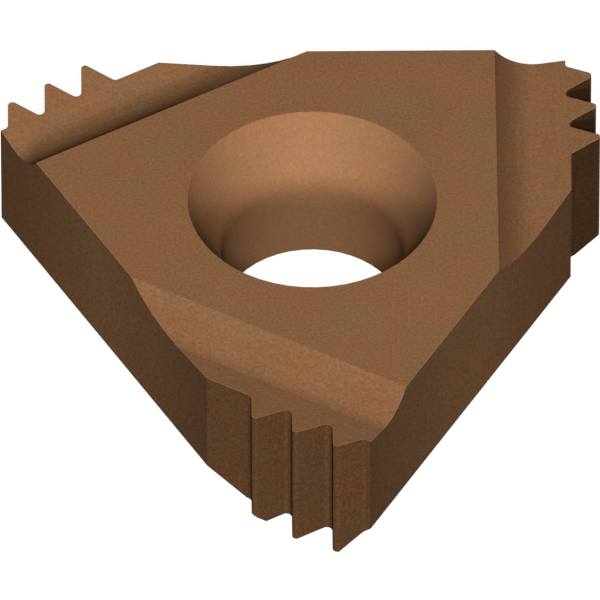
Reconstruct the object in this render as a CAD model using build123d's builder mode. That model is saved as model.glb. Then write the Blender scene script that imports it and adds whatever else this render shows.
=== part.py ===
from build123d import *
import math
import os

# Lay-down threading insert of cemented carbide, right hand, for external threads.
# Millimetres. The origin lies on the screw hole's axis in the seating face, and +Z points to the
# rake side. One side of the triangle faces +Y, and the teeth of the corner beside it point to +X.

# Blank: an equilateral triangle, known by the circle that touches its three sides.
inscribed_diameter = 9.525
thickness = 3.6
seat_bevel = 0.51
corner_count = 3

# Screw hole: a bore that opens upwards into a countersink, with a rolled edge between the two.
bore_diameter = 4.06
countersink_diameter = 5.62
countersink_angle = 55.0
junction_radius = 0.9

# Thread form: three full teeth on each corner, each a little further out than the one before it.
# The first takes the heaviest cut and has the bluntest crest.
pitch = 1.0
thread_angle = 60.0
tooth_count = 3
first_tooth = 0.59
first_apex = 6.46
apex_step = 0.073
first_crest_radius = 0.115
crest_radius = 0.095
root_radius = 0.125
datum_land = 5.765
relief_land = 5.84

# Chip groove: it crosses the corner behind the teeth and rises to them as a positive rake face.
groove_start = 4.165
ramp_angle = 51.0
hollow_radius = 1.05
groove_depth = 0.455
rake_angle = 10.0

# How far the grinding wheels run past the blank.
overrun = 1.0

inscribed_radius = inscribed_diameter / 2
blank_reach = inscribed_radius / math.cos(math.pi / corner_count) + overrun
half_angle = math.radians(thread_angle / 2)
ramp = math.radians(ramp_angle)
rake = math.radians(rake_angle)


# A place on the corner whose teeth point to +X. Its reach is measured from the screw hole's axis
# along the teeth, and its inset from the datum side, which the first tooth stands beside.
def place(reach, inset):
    return (reach, inscribed_radius - inset)


# Where the flanks of each tooth would meet, beyond the crest that rounds them off.
apex_insets = [first_tooth + pitch * tooth for tooth in range(tooth_count)]
apex_reaches = [first_apex + apex_step * tooth for tooth in range(tooth_count)]


# Inset at which a tooth's flank comes down to a given reach. The side is -1 towards the datum
# side and 1 away from it.
def flank_inset(tooth, reach, side):
    return apex_insets[tooth] + side * (apex_reaches[tooth] - reach) * math.tan(half_angle)


# The sharp thread form, from outside the datum side to past the far end of the relief land.
form = [place(datum_land, -overrun), place(datum_land, flank_inset(0, datum_land, -1))]
for tooth in range(tooth_count):
    form.append(place(apex_reaches[tooth], apex_insets[tooth]))
    if tooth < tooth_count - 1:
        # Facing flanks of two teeth meet below the middle of the line between their apexes.
        middle_reach = (apex_reaches[tooth] + apex_reaches[tooth + 1]) / 2
        valley_reach = middle_reach - pitch / 2 / math.tan(half_angle)
        form.append(place(valley_reach, flank_inset(tooth, valley_reach, 1)))
form.append(place(relief_land, flank_inset(tooth_count - 1, relief_land, 1)))
form.append(place(relief_land, inscribed_diameter))

# What the form wheel grinds off a corner, from the rounded thread form out to past the blank.
crest_radii = [first_crest_radius] + [crest_radius] * (tooth_count - 1)
form_radii = [root_radius]
for radius in crest_radii:
    form_radii += [radius, root_radius]
with BuildSketch() as wheel_form:
    with BuildLine():
        FilletPolyline(*form, radius=form_radii)
        Polyline(form[-1], place(blank_reach, inscribed_diameter), place(blank_reach, -overrun), form[0])
    make_face()

# Section of the chip groove: a ramp, a hollow tangent to both its neighbours, and the rake face.
hollow_height = thickness - groove_depth + hollow_radius
hollow_reach = groove_start + (hollow_radius - (hollow_height - thickness) * math.cos(ramp)) / math.sin(ramp)
ramp_head = (groove_start - overrun / math.tan(ramp), thickness + overrun)
ramp_foot = (hollow_reach - hollow_radius * math.sin(ramp), hollow_height - hollow_radius * math.cos(ramp))
rake_foot = (hollow_reach + hollow_radius * math.sin(rake), hollow_height - hollow_radius * math.cos(rake))
rake_head = (blank_reach, rake_foot[1] + (blank_reach - rake_foot[0]) * math.tan(rake))
clear_height = rake_head[1] + overrun

# The section stands upright along the teeth, beside the datum side, and looks across the corner.
groove_plane = Plane(origin=place(0, -overrun), x_dir=(1, 0, 0), z_dir=(0, -1, 0))
with BuildSketch(groove_plane) as groove_section:
    with BuildLine():
        Line(ramp_head, ramp_foot)
        ThreePointArc(ramp_foot, (hollow_reach, thickness - groove_depth), rake_foot)
        Polyline(rake_foot, rake_head, (blank_reach, clear_height), (ramp_head[0], clear_height), ramp_head)
    make_face()

# Half section of the screw hole, to be turned about its axis.
cone_angle = math.radians(countersink_angle / 2)
junction = (bore_diameter / 2, thickness - (countersink_diameter - bore_diameter) / 2 / math.tan(cone_angle))
mouth = (countersink_diameter / 2 + overrun * math.tan(cone_angle), thickness + overrun)
with BuildSketch(Plane.XZ) as hole_section:
    with BuildLine():
        FilletPolyline((bore_diameter / 2, -overrun), junction, mouth, radius=junction_radius)
        Polyline(mouth, (0, thickness + overrun), (0, -overrun), (bore_diameter / 2, -overrun))
    make_face()

with BuildPart() as insert:
    with BuildSketch():
        RegularPolygon(inscribed_radius, corner_count, major_radius=False, rotation=-90)
    extrude(amount=thickness)

    # The bevels are on the blank before its corners are ground, so they run out through the teeth.
    chamfer(faces().sort_by(Axis.Z)[0].edges(), seat_bevel)

    # The three corners get their teeth from one wheel form.
    with BuildSketch():
        with PolarLocations(0, corner_count):
            add(wheel_form.sketch)
    extrude(amount=thickness, mode=Mode.SUBTRACT)

    # Each corner gets one chip groove across its teeth.
    groove_cut = extrude(groove_section.sketch, amount=inscribed_diameter + 2 * overrun, mode=Mode.PRIVATE)
    with PolarLocations(0, corner_count):
        add(groove_cut, mode=Mode.SUBTRACT)

    # The screw hole goes right through.
    revolve(hole_section.sketch, axis=Axis.Z, mode=Mode.SUBTRACT)

insert.part.label = "threading_insert"
os.makedirs("parts", exist_ok=True)
export_step(insert.part, "parts/threading_insert.step")
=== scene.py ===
# %% [markdown]
# # A coated carbide threading insert
#
# The real thing is a small three-cornered cutter for external screw threads. It is pressed and sintered
# from tungsten carbide powder, ground on its faces, and then coated with a thin bronze-brown nitride.
# One screw through the middle holds it in its seat, and each corner has three teeth.
#
# This lesson starts from the solid that was built for it, and gives it a view, a finish and a light.
# Lengths are in metres, because Blender works in metres. Patterns are thought of in millimetres.

# %% Load the solid
import math

import bpy
from mathutils import Matrix, Vector


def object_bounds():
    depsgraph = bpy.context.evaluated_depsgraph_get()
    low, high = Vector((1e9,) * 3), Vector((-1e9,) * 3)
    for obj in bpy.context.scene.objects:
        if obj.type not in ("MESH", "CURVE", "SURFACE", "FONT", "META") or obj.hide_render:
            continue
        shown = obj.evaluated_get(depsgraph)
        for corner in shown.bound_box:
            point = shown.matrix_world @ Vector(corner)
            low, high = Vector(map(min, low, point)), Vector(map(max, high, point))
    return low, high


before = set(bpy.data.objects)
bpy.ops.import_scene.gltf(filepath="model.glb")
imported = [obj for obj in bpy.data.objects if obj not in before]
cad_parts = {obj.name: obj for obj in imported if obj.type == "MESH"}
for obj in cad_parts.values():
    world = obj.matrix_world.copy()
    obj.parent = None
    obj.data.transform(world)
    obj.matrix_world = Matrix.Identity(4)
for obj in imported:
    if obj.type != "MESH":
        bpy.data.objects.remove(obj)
cad_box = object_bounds()
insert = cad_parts["threading_insert"]
MM = 0.001
size = [round((high - low) / MM, 3) for low, high in zip(*cad_box)]
print("The insert measures", size, "mm and has", len(insert.data.polygons), "faces")

# %% [markdown]
# ## The view
#
# The photograph looks down on one corner, halfway between the horizon and straight down, and its
# parallel edges stay parallel. That means a long lens from far off, or an orthographic camera. A long
# lens is chosen, since it also frames other views of the insert well. Blender counts the lens and the
# sensor in millimetres, and everything else here in metres.

# %% Place the camera
VIEW_TURN = math.radians(-0.522)
VIEW_RISE = math.radians(44.829)
VIEW_DISTANCE = 0.6374
VIEW_TARGET = Vector((-0.29, -1.406, 1.804)) * MM
LENS_LENGTH = 1700
SENSOR_WIDTH = 36
NEAREST = 0.05
FURTHEST = 5
PIXELS = 600


def towards(turn, rise):
    """The direction from the insert to something that stands turned from the front and raised."""
    return Vector((math.sin(turn) * math.cos(rise), -math.cos(turn) * math.cos(rise), math.sin(rise)))


camera = bpy.data.objects.new("camera", bpy.data.cameras.new("camera"))
camera.data.lens = LENS_LENGTH
camera.data.sensor_width = SENSOR_WIDTH
camera.data.clip_start = NEAREST
camera.data.clip_end = FURTHEST
back = towards(VIEW_TURN, VIEW_RISE)
camera.location = VIEW_TARGET + back * VIEW_DISTANCE
camera.rotation_mode = "QUATERNION"
camera.rotation_quaternion = (-back).to_track_quat("-Z", "Y")
scene = bpy.context.scene
scene.collection.objects.link(camera)
scene.camera = camera
scene.view_settings.view_transform = "Standard"
picture_width = VIEW_DISTANCE * SENSOR_WIDTH / LENS_LENGTH / MM
pixel = picture_width / PIXELS
print("The picture is", round(picture_width, 2), "mm wide, and one pixel of it is", round(pixel, 4), "mm")

# %% [markdown]
# ## Two helpers
#
# Colours are written as on a colour card, in sRGB hex, and Blender wants them linear, so one function
# turns them. A material is a chain of nodes, and the other function adds a node, sets it and links it
# in one line.


# %% Helpers for colours and nodes
def linear(code):
    """An sRGB hex colour as Blender's linear red, green, blue and alpha."""
    parts = [int(code[at : at + 2], 16) / 255 for at in (1, 3, 5)]
    return [part / 12.92 if part <= 0.04045 else ((part + 0.055) / 1.055) ** 2.4 for part in parts] + [1]


def add(tree, kind, inputs=None, **settings):
    """Adds a node. Each input is named or numbered, and is a value or another node's output."""
    node = tree.nodes.new("ShaderNode" + kind)
    for name, value in settings.items():
        setattr(node, name, value)
    for name, value in (inputs or {}).items():
        if isinstance(value, bpy.types.NodeSocket):
            tree.links.new(value, node.inputs[name])
        else:
            node.inputs[name].default_value = value
    return node


print("Half of a linear white is", linear("#BCBCBC")[0])

# %% [markdown]
# ## Nitride-coated cemented carbide: places on the insert
#
# The coat is the same all over, but what lies under it isn't. The rake side and the seat are lapped, the
# chip grooves, the sides and the teeth are ground, and the screw hole is left as it was sintered. Each
# finish could be a material of its own, but the solid has one slot, so one material tells the surfaces
# apart by their place and by the way they face. Most of the colours it gives them are painted shade and
# painted highlight rather than finish.
#
# The three corners are alike, so each is turned onto the first one, whose teeth point to +X. Then one
# rule finds the teeth of all three.

# %% Places in millimetres, with the corners turned onto one
coat = bpy.data.materials.new("nitride_coated_cemented_carbide")
coat.use_nodes = True
tree = coat.node_tree
shader = tree.nodes["Principled BSDF"]
coordinates = add(tree, "TexCoord").outputs
facing = coordinates["Normal"]
place = add(tree, "VectorMath", {0: coordinates["Object"], "Scale": 1 / MM}, operation="SCALE").outputs[0]
across = add(tree, "SeparateXYZ", {0: place}).outputs
CORNER_TURN = math.radians(120)
SECOND_CORNER_START = math.radians(90)
before_first = CORNER_TURN - SECOND_CORNER_START
bearing = add(tree, "Math", {0: across["Y"], 1: across["X"]}, operation="ARCTAN2").outputs[0]
past_first = add(tree, "Math", {0: bearing, 1: before_first}, operation="ADD").outputs[0]
corner = add(tree, "Math", {0: past_first, 1: CORNER_TURN}, operation="SNAP").outputs[0]
turn_back = add(tree, "Math", {0: corner, 1: -1}, operation="MULTIPLY").outputs[0]
turned_place = {"Vector": place, "Angle": turn_back}
folded = add(tree, "VectorRotate", turned_place, rotation_type="Z_AXIS").outputs[0]
turned_facing = {"Vector": facing, "Angle": turn_back}
folded_facing = add(tree, "VectorRotate", turned_facing, rotation_type="Z_AXIS").outputs[0]
print("The corners are turned onto one by", len(tree.nodes), "nodes")

# %% [markdown]
# ## The way each surface faces
#
# A steep surface is told from a flat one by how far its normal points up. On a corner, the flanks of the
# teeth and the slope of the chip groove are known by how far it points to the datum side, which is the
# side beside the first tooth, or out along the teeth.

# %% Facings and distances
FLAT = (1, 1, 0)
TO_DATUM_SIDE = (0, 1, 0)
FAR_SIDE_TURN = math.radians(30)
TO_FAR_SIDE = (math.cos(FAR_SIDE_TURN), -math.sin(FAR_SIDE_TURN), 0)
upward = add(tree, "SeparateXYZ", {0: facing}).outputs["Z"]
corner_facing = add(tree, "SeparateXYZ", {0: folded_facing}).outputs
outward = corner_facing["X"]
datumward = corner_facing["Y"]
flat_place = add(tree, "VectorMath", {0: place, 1: FLAT}, operation="MULTIPLY").outputs[0]
from_axis = add(tree, "VectorMath", {0: flat_place}, operation="LENGTH").outputs["Value"]
to_datum = {0: folded, 1: TO_DATUM_SIDE}
datum_side = add(tree, "VectorMath", to_datum, operation="DOT_PRODUCT").outputs["Value"]
to_far = {0: folded, 1: TO_FAR_SIDE}
far_side = add(tree, "VectorMath", to_far, operation="DOT_PRODUCT").outputs["Value"]
outermost = add(tree, "Math", {0: datum_side, 1: far_side}, operation="MAXIMUM").outputs[0]
inscribed_radius = cad_box[1][1] / MM
print("The sides are", round(inscribed_radius, 4), "mm from the axis")

# %% [markdown]
# ## Masks for the hole, the walls and the teeth
#
# Each mask is 1 on its own surfaces and 0 elsewhere. The upward part of a normal runs from -1, straight
# down, to 1, straight up, and a steep surface lies between. Inside the rim of the countersink it belongs to
# the hole, and anywhere else it is a wall. The walls that lie on a side or face down to the seat are the
# sides and the bevels, and the walls that are left are the teeth.

# %% Masks by place
COUNTERSINK_RADIUS = 2.81
MARGIN = 0.005
STEEP_FROM = -0.9
STEEP_TO = 0.6
BEVEL_TO = -0.3
hole_reach = COUNTERSINK_RADIUS + MARGIN
side_reach = inscribed_radius - MARGIN
steep_middle = (STEEP_FROM + STEEP_TO) / 2
steep_half = (STEEP_TO - STEEP_FROM) / 2
within_hole = add(tree, "Math", {0: from_axis, 1: hole_reach}, operation="LESS_THAN").outputs[0]
steep = add(tree, "Math", {0: upward, 1: steep_middle, 2: steep_half}, operation="COMPARE").outputs[0]
in_hole = add(tree, "Math", {0: within_hole, 1: steep}, operation="MULTIPLY").outputs[0]
on_wall = add(tree, "Math", {0: steep, 1: in_hole}, operation="SUBTRACT").outputs[0]
on_side = add(tree, "Math", {0: outermost, 1: side_reach}, operation="GREATER_THAN").outputs[0]
on_bevel = add(tree, "Math", {0: upward, 1: BEVEL_TO}, operation="LESS_THAN").outputs[0]
not_teeth = add(tree, "Math", {0: on_side, 1: on_bevel}, operation="MAXIMUM").outputs[0]
walls_left = {0: on_wall, 1: not_teeth}
on_teeth = add(tree, "Math", walls_left, operation="SUBTRACT", use_clamp=True).outputs[0]
print("The coat has", len(tree.nodes), "nodes so far")

# %% [markdown]
# ## Masks for the crests, the trailing flanks and the ramps
#
# The groove's ramp passes into its rake face through a rounded hollow, and the crest of a tooth into its
# flanks. So their masks rise from 0 to 1 on the way, each between two facings of its own.

# %% Masks by facing
CREST_SPAN = {"From Min": -0.1, "From Max": -0.45}
TRAILING_SPAN = {"From Min": -0.6, "From Max": -0.85}
RAMP_SPAN = {"From Min": 0.1, "From Max": 0.5}
# These masks place painted shade on the ramps and the trailing flanks, and a painted highlight on the
# crests.
crests = add(tree, "MapRange", {"Value": datumward, **CREST_SPAN}).outputs[0]
trailing = add(tree, "MapRange", {"Value": datumward, **TRAILING_SPAN}).outputs[0]
on_crests = add(tree, "Math", {0: on_teeth, 1: crests}, operation="MULTIPLY").outputs[0]
on_trailing = add(tree, "Math", {0: on_teeth, 1: trailing}, operation="MULTIPLY").outputs[0]
on_ramp = add(tree, "MapRange", {"Value": outward, **RAMP_SPAN}).outputs[0]
print("The coat has", len(tree.nodes), "nodes so far")

# %% [markdown]
# ## Along the sides
#
# A last mask rises from the middle of a side to both its ends, for painted shade that darkens the sides
# toward their ends. That middle lies a little toward the teeth beside the side.
# Turned onto the first corner, a place on a side belongs to the side beside the teeth or to the one
# before it, so the nearer of their two middles counts.

# %% A mask that rises toward the ends of a side
MIDDLE_SHIFT = 1.17
MIDDLE_REACH = 0.5
HALF_SIDE = 4.5
SIDE_SPAN = {"From Min": MIDDLE_REACH, "From Max": HALF_SIDE}
flat_folded = add(tree, "VectorMath", {0: folded, 1: FLAT}, operation="MULTIPLY").outputs[0]
middle = Vector((MIDDLE_SHIFT, inscribed_radius, 0))
next_middle = Matrix.Rotation(-CORNER_TURN, 3, "Z") @ middle
to_middle = add(tree, "VectorMath", {0: flat_folded, 1: middle}, operation="DISTANCE").outputs["Value"]
to_next = add(tree, "VectorMath", {0: flat_folded, 1: next_middle}, operation="DISTANCE").outputs["Value"]
off_middle = add(tree, "Math", {0: to_middle, 1: to_next}, operation="MINIMUM").outputs[0]
# This mask carries painted shade toward the ends of each side.
near_end = add(tree, "MapRange", {"Value": off_middle, **SIDE_SPAN}).outputs[0]
print("The middles lie at", [round(part, 2) for part in (*middle.xy, *next_middle.xy)], "mm")

# %% [markdown]
# ## The colour of each finish, and painted shade
#
# A nitride coat is a metal-like ceramic, and it gives the eye a satin bronze. The lapped faces are the
# measure of it. The other colours are mostly painted shade: the sides, the ramp of the groove and the teeth
# are painted darker than the lamps make them, the ends of the sides darker still, and the trailing flanks
# darkest, as a painted shadow. The crests and roots between two flanks are painted lighter than the rest of
# the teeth, as a painted highlight. The sintered hole is nearly as pale as the lapped faces, partly its own
# tone and partly painted light.

# %% Colours
LAPPED = linear("#865F40")
# The colours after LAPPED paint shade, shadow and highlight into the coat; the hole's is partly its own
# tone.
RAMP_PAINTED_SHADE = linear("#775438")
SIDE_PAINTED_SHADE = linear("#674930")
SIDE_ENDS_PAINTED_SHADE = linear("#563C28")
TEETH_PAINTED_SHADE = linear("#503723")
CREST_PAINTED_HIGHLIGHT = linear("#593E28")
TRAILING_PAINTED_SHADOW = linear("#372516")
HOLE_TONE_AND_PAINTED_LIGHT = linear("#886243")
side_colour = add(tree, "Mix", {0: near_end, 6: SIDE_PAINTED_SHADE, 7: SIDE_ENDS_PAINTED_SHADE}, data_type="RGBA").outputs[2]
colour = LAPPED
painted_colours = [
    (on_ramp, RAMP_PAINTED_SHADE),
    (on_wall, side_colour),
    (on_teeth, TEETH_PAINTED_SHADE),
    (on_crests, CREST_PAINTED_HIGHLIGHT),
    (on_trailing, TRAILING_PAINTED_SHADOW),
    (in_hole, HOLE_TONE_AND_PAINTED_LIGHT),
]
# Each mask lays its painted shade or painted highlight over the lapped colour.
for mask, painted_colour in painted_colours:
    colour = add(tree, "Mix", {0: mask, 6: colour, 7: painted_colour}, data_type="RGBA").outputs[2]
print("The lapped faces are", [round(part, 3) for part in LAPPED[:3]], "in linear light")

# %% [markdown]
# ## Grain, and drift of the colour
#
# The grains of the carbide are about a thousandth of a millimetre wide, too fine to show, so they are
# drawn 0.06 mm wide, nearly three pixels of the picture. They show most on the ground walls, and least on
# the sintered skin of the hole. The coat also drifts a little in tint and in depth from place to place,
# since its thickness does. A photograph of the surface could give both, but a noise needs no picture and
# never repeats.

# %% Grain and drift
GRAIN_WIDTH = 0.06
TINT_WIDTH = 1.1
PATCH_WIDTH = 1.6
REDDER = (1.05, 0.97, 0.95, 1)
GREENER = (0.95, 1.03, 1.05, 1)
FACE_GRAIN = 0.17
WALL_GRAIN = 0.25
HOLE_GRAIN = 0.1
PATCH_DEPTH = 0.03
# A noise lies mostly between a quarter and three quarters, and that span is stretched to each shade's own.
NOISE_SPAN = {"From Min": 0.25, "From Max": 0.75}
PATCH_SPAN = {**NOISE_SPAN, "To Min": 1 - PATCH_DEPTH, "To Max": 1 + PATCH_DEPTH}
grain = add(tree, "TexNoise", {"Vector": place, "Scale": 1 / GRAIN_WIDTH, "Detail": 1.0}).outputs[0]
drift = add(tree, "TexNoise", {"Vector": place, "Scale": 1 / TINT_WIDTH, "Detail": 2.0}).outputs[0]
patches = add(tree, "TexNoise", {"Vector": place, "Scale": 1 / PATCH_WIDTH, "Detail": 2.0}).outputs[0]
grain_strength = add(tree, "Mix", {0: on_wall, 2: FACE_GRAIN, 3: WALL_GRAIN}).outputs[0]
grain_strength = add(tree, "Mix", {0: in_hole, 2: grain_strength, 3: HOLE_GRAIN}).outputs[0]
grain_swing = add(tree, "MapRange", {"Value": grain, **NOISE_SPAN, "To Min": -1.0}).outputs[0]
about_one = {0: grain_swing, 1: grain_strength, 2: 1.0}
grain_shade = add(tree, "Math", about_one, operation="MULTIPLY_ADD").outputs[0]
patch_shade = add(tree, "MapRange", {"Value": patches, **PATCH_SPAN}).outputs[0]
tint_mix = add(tree, "MapRange", {"Value": drift, **NOISE_SPAN}).outputs[0]
tint = add(tree, "Mix", {0: tint_mix, 6: REDDER, 7: GREENER}, data_type="RGBA").outputs[2]
colour = add(tree, "VectorMath", {0: colour, 1: tint}, operation="MULTIPLY").outputs[0]
print("A grain is", round(GRAIN_WIDTH / pixel, 1), "pixels wide")

# %% [markdown]
# ## Marks of the grinding wheel
#
# A wheel leaves furrows along its path: across the corner in the chip groove, and up and down on the
# teeth and the sides. They are a noise as well, but stretched, so that each mark is long and narrow. The
# lapped faces lie level and have none, and neither has the hole.

# %% Wheel marks
MARK_WIDTH = 0.04
MARK_LENGTH = 1.5
MARK_DEPTH = 0.04
LEVEL_FROM = 0.9995
NO_MARK = 0.5
MARK_SPAN = {**NOISE_SPAN, "To Min": 1 - MARK_DEPTH, "To Max": 1 + MARK_DEPTH}
narrow = 1 / MARK_WIDTH
long = 1 / MARK_LENGTH
across_corner = (narrow, long, narrow)
up_and_down = (narrow, narrow, long)
groove_place = add(tree, "VectorMath", {0: folded, 1: across_corner}, operation="MULTIPLY").outputs[0]
wall_place = add(tree, "VectorMath", {0: place, 1: up_and_down}, operation="MULTIPLY").outputs[0]
groove_marks = add(tree, "TexNoise", {"Vector": groove_place, "Scale": 1, "Detail": 1.0}).outputs[0]
wall_marks = add(tree, "TexNoise", {"Vector": wall_place, "Scale": 1, "Detail": 1.0}).outputs[0]
tilted = add(tree, "Math", {0: upward, 1: LEVEL_FROM}, operation="LESS_THAN").outputs[0]
ground = add(tree, "Math", {0: tilted, 1: in_hole}, operation="SUBTRACT", use_clamp=True).outputs[0]
marks = add(tree, "Mix", {0: on_wall, 2: groove_marks, 3: wall_marks}).outputs[0]
ground_marks = add(tree, "Mix", {0: ground, 2: NO_MARK, 3: marks}).outputs[0]
mark_shade = add(tree, "MapRange", {"Value": ground_marks, **MARK_SPAN}).outputs[0]
for shade in (grain_shade, patch_shade, mark_shade):
    colour = add(tree, "VectorMath", {0: colour, "Scale": shade}, operation="SCALE").outputs[0]
print("A mark is", round(MARK_LENGTH / MARK_WIDTH), "times as long as it is wide")

# %% [markdown]
# ## The wall of the hole
#
# A turned wall closes on itself along a line, and there its mesh is split. On each side of the line the
# normals lean to their own side, which would draw a crease down the hole. The mesh could be joined there,
# but the solid is kept as it is. The true normal of a turned wall points straight to the axis, apart from
# its tilt, so it is worked out from the place instead.

# %% Normals in the hole
way_out = add(tree, "VectorMath", {0: flat_place}, operation="NORMALIZE").outputs[0]
flat_facing = add(tree, "VectorMath", {0: facing, 1: FLAT}, operation="MULTIPLY").outputs[0]
level_part = add(tree, "VectorMath", {0: flat_facing}, operation="LENGTH").outputs["Value"]
from_wall = add(tree, "VectorMath", {0: way_out, "Scale": level_part}, operation="SCALE").outputs[0]
raised_part = add(tree, "CombineXYZ", {"Z": upward}).outputs[0]
turned = add(tree, "VectorMath", {0: raised_part, 1: from_wall}, operation="SUBTRACT").outputs[0]
own = add(tree, "Mix", {0: in_hole, 4: facing, 5: turned}, data_type="VECTOR").outputs[1]
to_world = {"vector_type": "NORMAL", "convert_from": "OBJECT", "convert_to": "WORLD"}
own = add(tree, "VectorTransform", {"Vector": own}, **to_world).outputs[0]
print("The hole's wall faces its axis all round")

# %% [markdown]
# ## Honed edges
#
# Every edge of an insert is rounded a few hundredths of a millimetre by brushing before it is coated. The
# edges could be rounded in the mesh, but the solid is kept as it is. The Bevel node rounds them for the
# light alone. Where its normal leaves the face's own, the colour is also painted lighter on the upper side
# of an edge, as a painted highlight, and darker below it, as painted shade.

# %% Edges
HONE = 0.04 * MM
HONE_SAMPLES = 8
PAINTED_EDGE_HIGHLIGHT = 1.2
PAINTED_EDGE_SHADE = 0.45
EDGE_SPAN = {"From Min": 0.995, "From Max": 0.9}
PAINTED_EDGE_SPAN = {"From Min": 0.1, "From Max": 0.8, "To Min": PAINTED_EDGE_SHADE, "To Max": PAINTED_EDGE_HIGHLIGHT}
rounded = add(tree, "Bevel", {"Radius": HONE}, samples=HONE_SAMPLES).outputs[0]
alike = add(tree, "VectorMath", {0: rounded, 1: own}, operation="DOT_PRODUCT").outputs["Value"]
edge = add(tree, "MapRange", {"Value": alike, **EDGE_SPAN}).outputs[0]
# A painted highlight above each edge and painted shade below it.
painted_edge_tone = add(tree, "MapRange", {"Value": upward, **PAINTED_EDGE_SPAN}).outputs[0]
painted_edge_light = add(tree, "Mix", {0: edge, 2: 1.0, 3: painted_edge_tone}).outputs[0]
colour = add(tree, "VectorMath", {0: colour, "Scale": painted_edge_light}, operation="SCALE").outputs[0]
honed = add(tree, "Mix", {0: edge, 4: own, 5: rounded}, data_type="VECTOR").outputs[1]
print("The edges are honed", HONE / MM, "mm wide")

# %% [markdown]
# ## The coat's gloss
#
# A polished nitride is a metal in its gloss, with a roughness near 0.2. This one lies on ground and lapped
# carbide, so it is matt: no lamp shows in it, and most of what it gives back is its own colour, evenly
# spread. That is matched with a high roughness and only a twentieth of metal. The grain and the marks also
# dent the surface by about a thousandth of a millimetre, which a bump draws without a finer mesh.

# %% Shader
METAL_SHARE = 0.05
SMOOTHEST = 0.54
ROUGHEST = 0.60
BUMP_DEPTH = 0.002 * MM
BUMP_STRENGTH = 0.5
ROUGHNESS_SPAN = {**NOISE_SPAN, "To Min": SMOOTHEST, "To Max": ROUGHEST}
height = add(tree, "Math", {0: grain, 1: ground_marks}, operation="ADD").outputs[0]
bump_inputs = {"Strength": BUMP_STRENGTH, "Distance": BUMP_DEPTH, "Height": height, "Normal": honed}
bump = add(tree, "Bump", bump_inputs).outputs[0]
roughness = add(tree, "MapRange", {"Value": grain, **ROUGHNESS_SPAN}).outputs[0]
tree.links.new(colour, shader.inputs["Base Color"])
tree.links.new(roughness, shader.inputs["Roughness"])
tree.links.new(bump, shader.inputs["Normal"])
shader.inputs["Metallic"].default_value = METAL_SHARE
shader.inputs["Specular IOR Level"].default_value = 0.0
for slot in insert.material_slots:
    slot.material = coat
print("The coat has", len(tree.nodes), "nodes")

# %% [markdown]
# ## Floor
#
# The photograph has a plain white ground. A white floor would also throw the lamps' light up at the
# insert, so the floor is a dim one that lights little, and only what the camera sees of it, directly or in
# a gloss, is brought up to white. It still takes the insert's shadow.

# %% Floor
FLOOR_WIDTH = 4
FLOOR_GREY = 0.1
FLOOR_GLOW = 0.955


def seen(nodes):
    """1 for rays from the camera and for rays that a gloss or a clear thing sends on."""
    path = add(nodes, "LightPath").outputs
    either = {0: path["Is Glossy Ray"], 1: path["Is Transmission Ray"]}
    sent_on = add(nodes, "Math", either, operation="MAXIMUM").outputs[0]
    return add(nodes, "Math", {0: path["Is Camera Ray"], 1: sent_on}, operation="MAXIMUM").outputs[0]


pale = bpy.data.materials.new("pale_floor")
pale.use_nodes = True
floor_tree = pale.node_tree
floor_tree.nodes.clear()
spread = add(floor_tree, "BsdfDiffuse", {"Color": (FLOOR_GREY, FLOOR_GREY, FLOOR_GREY, 1)}).outputs[0]
glowing = {0: seen(floor_tree), 1: FLOOR_GLOW}
glow_strength = add(floor_tree, "Math", glowing, operation="MULTIPLY").outputs[0]
glow = add(floor_tree, "Emission", {"Strength": glow_strength}).outputs[0]
together = add(floor_tree, "AddShader", {0: spread, 1: glow}).outputs[0]
add(floor_tree, "OutputMaterial", {"Surface": together})

half = FLOOR_WIDTH / 2
floor_corners = [(-half, -half, 0), (half, -half, 0), (half, half, 0), (-half, half, 0)]
floor_mesh = bpy.data.meshes.new("floor")
floor_mesh.from_pydata(floor_corners, [], [(0, 1, 2, 3)])
floor = bpy.data.objects.new("floor", floor_mesh)
floor.data.materials.append(pale)
scene.collection.objects.link(floor)
print("The floor is", FLOOR_WIDTH, "m wide")

# %% [markdown]
# ## Surroundings
#
# The far background is the world. It could light the insert from all round, but the photograph has deep
# shadows, so the world is white only where it is seen, and the lamps do the lighting.

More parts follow.
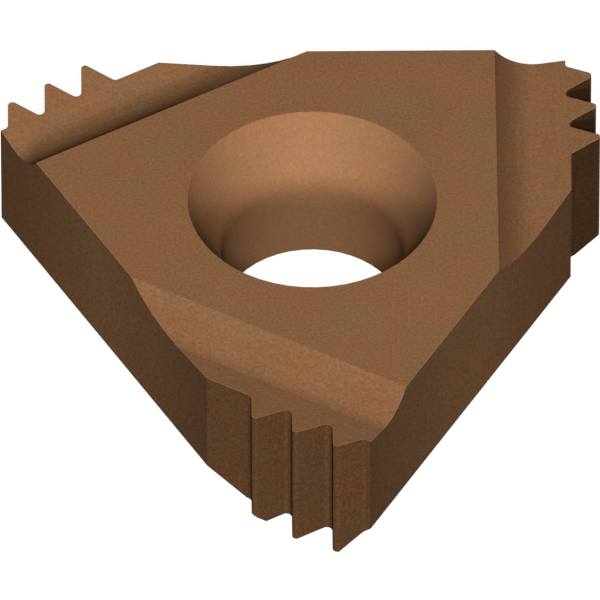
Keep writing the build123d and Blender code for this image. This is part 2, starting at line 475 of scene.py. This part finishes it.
# %% World
world = bpy.data.worlds.new("studio")
world.use_nodes = True
scene.world = world
background = world.node_tree.nodes["Background"]
background.inputs["Color"].default_value = (1, 1, 1, 1)
world.node_tree.links.new(seen(world.node_tree), background.inputs["Strength"])
print("The world is white where it is seen")

# %% [markdown]
# ## Light
#
# In the photograph the far side of the countersink is the brightest place, the bore under it is dimmer but
# lit down to the bottom, and whatever turns away to the back is dark. One soft lamp from the front can't
# do that, but two can, one above the other: the key stands as high as the camera and reaches down the
# bore, and the low one hardly reaches past the cone. A weak strip lies on the floor behind the insert,
# lower than its rake face. It is for the sides and the teeth there, which the camera doesn't see, so that
# they aren't black in other views.

# %% Lamps
LAMP_DISTANCE = 500 * MM
LAMP_TURN = math.radians(1)
KEY_RISE = math.radians(44)
KEY_WIDTH = 85 * MM
KEY_LEVEL = 1.06
LOW_RISE = math.radians(20)
LOW_WIDTH = 105 * MM
LOW_LEVEL = 0.7
STRIP_DISTANCE = 30 * MM
STRIP_WIDTH = 20 * MM
STRIP_HEIGHT = 1.4 * MM
STRIP_LEVEL = 0.2


def soft_lamp(name, spot, width, height, level):
    """An oval lamp turned to the insert. At level 1 a surface that faces it shows its own colour."""
    lamp = bpy.data.objects.new(name, bpy.data.lights.new(name, "AREA"))
    lamp.data.shape = "ELLIPSE"
    lamp.data.size = width
    lamp.data.size_y = height
    lamp.data.energy = level * (math.pi * spot.length) ** 2
    lamp.location = spot
    lamp.rotation_mode = "QUATERNION"
    lamp.rotation_quaternion = spot.to_track_quat("Z", "Y")
    scene.collection.objects.link(lamp)
    print("Lamp", name, "is", round(spot.length / MM), "mm off and has level", level)


key_spot = towards(LAMP_TURN, KEY_RISE) * LAMP_DISTANCE
low_spot = towards(LAMP_TURN, LOW_RISE) * LAMP_DISTANCE
strip_spot = Vector((0, STRIP_DISTANCE, STRIP_HEIGHT / 2))
soft_lamp("key", key_spot, KEY_WIDTH, KEY_WIDTH, KEY_LEVEL)
soft_lamp("low", low_spot, LOW_WIDTH, LOW_WIDTH, LOW_LEVEL)
soft_lamp("strip", strip_spot, STRIP_WIDTH, STRIP_HEIGHT, STRIP_LEVEL)
